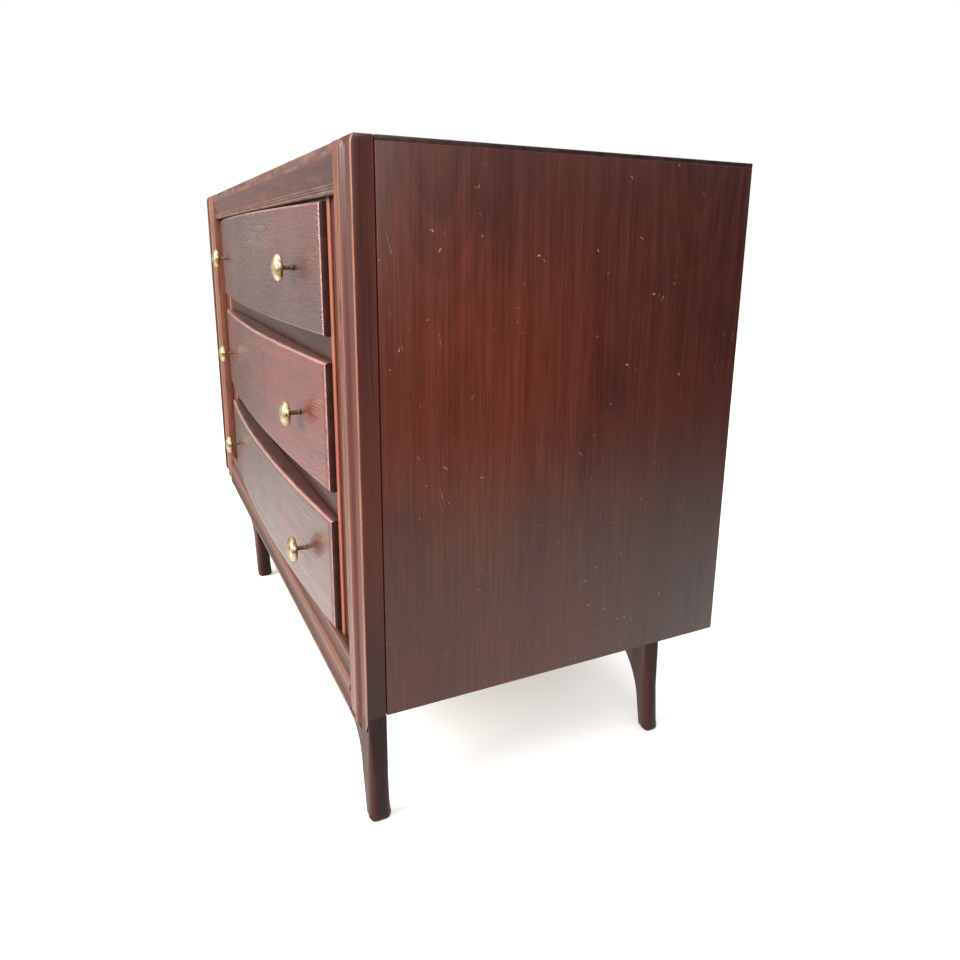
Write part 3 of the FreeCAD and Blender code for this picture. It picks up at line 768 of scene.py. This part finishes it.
def knob_pair(drawer, material, stem):
    """Shallow domed knobs on thin stems, the stems and the rear of each head darkened with painted shade."""
    radius, rim_out, dome_rise, tip_out = 16.0, 17.6, 7.85, 25.45
    # The stem's darkened material, painted shade, reaches this far out, over the rear of the head.
    painted_shade_out = 15.4
    profile = [(3.5, 0.0), (3.5, 0.5), (3.1, 0.9), (2.9, 2.4), (2.9, 5.0), (2.9, 11.4), (3.1, 12.6),
               (4.4, 13.4), (8.0, 13.7), (13.2, 14.0), (15.2, 14.6), (15.9, 15.6), (radius, 16.6)]
    angles = [t * math.pi / 24 for t in range(12)]
    profile += [(radius * math.cos(angle), rim_out + dome_rise * math.sin(angle)) for angle in angles]
    profile.append((0.4, tip_out))
    smooth = []
    for a, b in zip(profile, profile[1:]):
        smooth += [a, ((a[0] + b[0]) / 2, (a[1] + b[1]) / 2)]
    smooth.append(profile[-1])
    for side in ("right", "left"):
        node = drawer + "_knob_" + side
        low, high = low_high(node)
        centre = ((low.x + high.x) / 2, high.y, (low.z + high.z) / 2)
        piece = lathe(node + "_turned", smooth, centre)
        stand_for(piece, node, material=material)
        piece.data.materials.append(stem)
        for face in piece.data.polygons:
            if face.center.y / MM > centre[1] - painted_shade_out:
                face.material_index = 1


def legs(material):
    """Legs that taper and then flare on the inner side, with soft edges and a rounded foot."""
    for node, sign, shape_of, rake, slim in (
            ("front_leg_right", 1, FRONT_LEG, 0, FRONT_SLIM),
            ("front_leg_middle", 1, FRONT_LEG, 0, FRONT_SLIM),
            ("front_leg_left", -1, FRONT_LEG, 0, FRONT_SLIM),
            ("rear_leg_right", 1, REAR_LEG, REAR_RAKE, 0),
            ("rear_leg_left", -1, REAR_LEG, REAR_RAKE, 0)):
        low, high = low_high(node)
        corner = node == "front_leg_right"
        top = high.z
        shoulder = low_high("bottom_front_rail")[0].z if corner else top
        outer = high.x if sign > 0 else low.x
        body_w, taper, flare = shape_of
        wide = body_w + taper + flare
        # Distance in from the outer side, and height.
        shape = [(0, 4, 4.2, 1), (4, 0), (body_w - 6, 0, 6, 1), (body_w, 6),
                 (body_w + taper * 0.4, (shoulder - flare) * 0.5),
                 (body_w + taper, shoulder - flare, flare, -1), (wide, shoulder)]
        if corner:
            shape += [(wide, top - CORNER), (CORNER, top - CORNER, CORNER, 1), (0.4, top), (0, top)]
        else:
            shape += [(0, top)]
        shape.append((0, shoulder * 0.5))
        loop = outline(shape, 12)
        deep = high.y - low.y - rake

        def put(a, b, y, outer=outer, sign=sign, rake=rake, slim=slim, low=low, top=top, deep=deep):
            share = min(max(b, 0), top) / top
            return (outer - sign * a, low.y + y * (1 - share * slim / deep) + rake * (1 - share), b)

        # The edges fade out towards the top, where the corner leg is a sliver beside the stile.
        radii = [(ARRIS if p.x < 0.2 else FOOT if p.y < 5 else EDGE)
                 * min(1.0, max(0.02, (top - 2 - p.y) / 30)) for p in loop]
        angles = [turn * math.pi / 2 for turn in (0, 0.12, 0.27, 0.45, 0.7, 1)]
        stations = [(1 - math.cos(angle), 1 - math.sin(angle)) for angle in angles]
        flat = [Vector((v.x, 0 if min(abs(p.y - top), abs(p.y - shoulder)) < 0.5 else v.y))
                for v, p in zip(inward(loop), loop)]
        verts, wear_and_sheen_levels = [], []
        for stations_here, front in ((stations, True), (stations[::-1], False)):
            for place, inset in stations_here:
                for point, normal, r in zip(loop, flat, radii):
                    moved = point + normal * r * inset
                    verts.append(put(moved.x, moved.y, place * r if front else deep - place * r))
                    # The front is lighter than the rear: rubbed on the edge roundings and painted light on
                    # the front face.
                    rubbed_and_lit = 1 - abs(place - 0.35) if r > 2 else 0.6
                    wear_and_sheen_levels.append(rubbed_and_lit if front else 0.0)
        faces = tube_faces(2 * len(stations), len(loop))
        piece = new_object(node + "_shaped", verts, faces, wear_and_sheen_levels, sharp=50)
        for face in piece.data.polygons:
            face.use_smooth = len(face.vertices) == 4
        stand_for(piece, node, material=material)


def inner_stiles(material):
    """The flat frame behind the drawers, with its half-round bead."""
    board_back = 3
    bead = [(11.2, 3.2), (11.2, 1.2, 2.0, 1), (12.8, 0.0), (19.1, 0.0, 2.0, 1), (20.7, 1.2), (20.7, 3.2)]
    loop = outline(bead)
    base, top = low_high("bottom_front_rail")[1].z, low_high("top_front_rail")[0].z
    for side, sign in (("right", 1), ("left", -1)):
        node = "inner_stile_" + side
        low, high = low_high(node)
        flat = rounded_box(node + "_board", Vector((low.x, low.y + board_back, low.z)), high, 0.4, 2)
        stand_for(flat, node, material=material)
        opening = low.x if sign > 0 else high.x

        def put(a, b, z, opening=opening, sign=sign, low=low):
            return (opening + sign * a, low.y + b, z)

        # The bead's front takes the full rubbed-edge colour: partly wear, partly painted light on the lit
        # strip.
        wear_and_sheen_levels = [1 if p.y < 1.5 else 0 for p in loop]
        strip = sweep(node + "_bead", loop, runs(base, top, 8), put, wear_and_sheen_levels)
        strip.data.materials.append(material)
        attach(strip, "root")


def boards(materials):
    """Boards with eased edges in place of the plain CAD blocks that show."""
    for node, radius, key in (
            ("side_panel_right", 0.9, "veneer"), ("side_panel_left", 0.9, "veneer"),
            ("top_skin", 0.7, "top"), ("back_panel", 0.4, "ply"),
            ("drawer_divider_lower", 0.8, "frame"), ("drawer_divider_upper", 0.8, "frame"),
            ("inner_top_rail", 0.6, "frame"), ("inner_bottom_rail", 0.6, "frame")):
        low, high = low_high(node)
        stand_for(rounded_box(node + "_board", low, high, radius), node, material=materials[key])


def dress_frame(materials):
    """Materials and softened edges for the CAD pieces that stay."""
    by_slot = {"secondary_wood": "secondary", "plywood": "ply", "steel_fixings": "steel"}
    by_board = {"back": "secondary", "bottom": "ply"}
    weld_within, edge_width = 0.00001, 0.0006
    for name, node in NODES.items():
        if node.hide_render:
            continue
        key = by_slot.get(SLOT_OF[name], "frame")
        if "_drawer_" in name or "runner" in name:
            key = by_board.get(name.split("_")[2], "secondary_y")
        node.data.materials.clear()
        node.data.materials.append(materials[key])
        if key != "steel":
            weld = node.modifiers.new("weld", "WELD")
            weld.merge_threshold = weld_within
            bevel = node.modifiers.new("bevel", "BEVEL")
            bevel.width, bevel.segments, bevel.limit_method = edge_width, 2, "ANGLE"


def make_materials():
    """The materials by the key that the pieces ask for. Colours go from the grain's dark to its light."""
    pale = dict(rough=0.62, seed=3.1, fibre=0.4, specular=0.3)
    pale_tones = (rgb(150, 112, 72), rgb(184, 146, 102), rgb(206, 172, 128))
    made = {
        "veneer": wood("side_veneer", "z", rgb(74, 33, 27), rgb(90, 41, 31), rgb(107, 50, 38),
                       figure=dict(leaf=0.312, middle=-0.137, apex=0.652, pitch=0.0085, strength=0.11),
                       marks=1.0, mark_colour=rgb(192, 146, 124), rough=0.36, coat=0.5, coat_rough=0.2,
                       fibre=0.62, spread=0.17, specular=0.35),
        "top": wood("top_sheet", "x", rgb(40, 24, 23), rgb(54, 32, 29), rgb(72, 44, 38), rough=0.36,
                    coat=0.3, coat_rough=0.25, marks=0.8, mark_colour=rgb(140, 100, 84), seed=1.7),
        # Its rubbed-edge colour paints the stiles' arris lines, partly wear and partly painted highlights,
        # and painted light on their inner side faces.
        "moulding_z": wood("stile_wood", "z", rgb(66, 31, 27), rgb(86, 41, 34), rgb(106, 52, 42),
                           coat=0.3, coat_rough=0.24, wear_and_sheen=rgb(180, 124, 98), patch=rgb(96, 46, 34),
                           marks=0.7, mark_colour=rgb(200, 160, 140), seed=0.6, specular=0.35,
                           foot=rgb(46, 29, 27)),
        # Its rubbed-edge colour paints the top rail's light bands, which are painted reflections.
        "moulding_x": wood("rail_wood", "x", rgb(62, 26, 22), rgb(86, 38, 31), rgb(106, 49, 39),
                           rough=0.38, coat=0.35, coat_rough=0.2, wear_and_sheen=rgb(176, 142, 120),
                           patch=rgb(60, 38, 35), marks=0.6, mark_colour=rgb(180, 140, 120), seed=2.3,
                           specular=0.4),
        "apron": wood("apron_wood", "x", rgb(60, 33, 27), rgb(84, 47, 37), rgb(104, 61, 47), coat=0.35,
                      coat_rough=0.22, wear_and_sheen=rgb(134, 90, 74), patch=rgb(78, 54, 52), marks=0.6,
                      mark_colour=rgb(200, 160, 140), seed=3.7, specular=0.35),
        # Dark end faces: end grain, darkened further with painted shade of the recess beside the stiles.
        "front_end": wood("front_end_grain_and_shade", "y", rgb(44, 22, 24), rgb(60, 29, 30), rgb(78, 38, 36),
                          rough=0.42, coat=0.3, coat_rough=0.22, seed=5.1, specular=0.3),
        # The inner frame between the drawers is dark partly as painted shade of the recess.
        "frame": wood("inner_frame_wood_and_shade", "x", rgb(44, 24, 22), rgb(60, 33, 30), rgb(78, 44, 40),
                      coat=0.4, coat_rough=0.2, seed=5.5, specular=0.3),
        # Its rubbed-edge colour paints the bead's front, partly wear and partly painted light.
        "frame_z": wood("inner_stile_wood", "z", rgb(70, 32, 26), rgb(96, 46, 34), rgb(120, 60, 44),
                        rough=0.38, coat=0.4, coat_rough=0.2, wear_and_sheen=rgb(182, 112, 90), seed=6.4,
                        specular=0.4),
        # Its rubbed-edge colour lightens the legs' fronts: rubbed edges and painted light.
        "leg": wood("leg_wood", "z", rgb(32, 20, 20), rgb(44, 28, 27), rgb(60, 36, 32), rough=0.42,
                    coat=0.1, coat_rough=0.26, patch=rgb(72, 36, 30), patch_at=(0.46, 0.62), marks=0.8,
                    mark_colour=rgb(140, 104, 90), wear_and_sheen=rgb(88, 48, 40), seed=7.7, specular=0.2),
        "secondary": wood("pale_wood_x", "x", *pale_tones, **pale),
        "secondary_y": wood("pale_wood_y", "y", *pale_tones, **pale),
        "ply": wood("plywood", "x", rgb(148, 108, 70), rgb(178, 138, 94), rgb(198, 160, 116), rough=0.66,
                    seed=9.1, fibre=0.3, specular=0.3),
        "brass": brass("aged_brass"),
        # Brass darkened as painted shade, for the stems and the rear of the knob heads.
        "stem": brass("brass_painted_shade", dull=(0.30, 0.27, 0.25, 1), relief=0.00001),
        "steel": steel("plain_steel"),
    }
    for drawer, seed, ripple, tones in (
            ("upper", 4.2, 1.3, ((68, 32, 30), (84, 41, 38), (100, 50, 45), (108, 48, 43))),
            ("middle", 8.3, 0.5, ((98, 42, 35), (116, 51, 42), (134, 60, 49), (148, 58, 45))),
            ("lower", 2.9, 0.6, ((78, 38, 32), (94, 47, 40), (112, 57, 47), (112, 48, 42)))):
        dark, mid, light, patch = (rgb(*tone) for tone in tones)
        # Its rubbed-edge colour paints the edge bands, partly wear and partly painted highlights.
        made[drawer + "_front"] = wood(
            drawer + "_front_lacquer", "x", dark, mid, light, rough=0.36, coat=1.0, coat_rough=0.10,
            wear_and_sheen=rgb(202, 154, 140), patch=patch, patch_at=(0.42, 0.66), ripple=ripple, marks=0.3,
            mark_colour=rgb(214, 180, 160), seed=seed)
    return made


make_camera()
make_studio()
materials = make_materials()
boards(materials)
stiles(materials["moulding_z"])
rails(materials)
inner_stiles(materials["frame_z"])
for drawer in DRAWERS:
    bowed_front(drawer, materials[drawer + "_front"], materials["front_end"])
    knob_pair(drawer, materials["brass"], materials["stem"])
legs(materials["leg"])
dress_frame(materials)

bpy.context.view_layer.update()
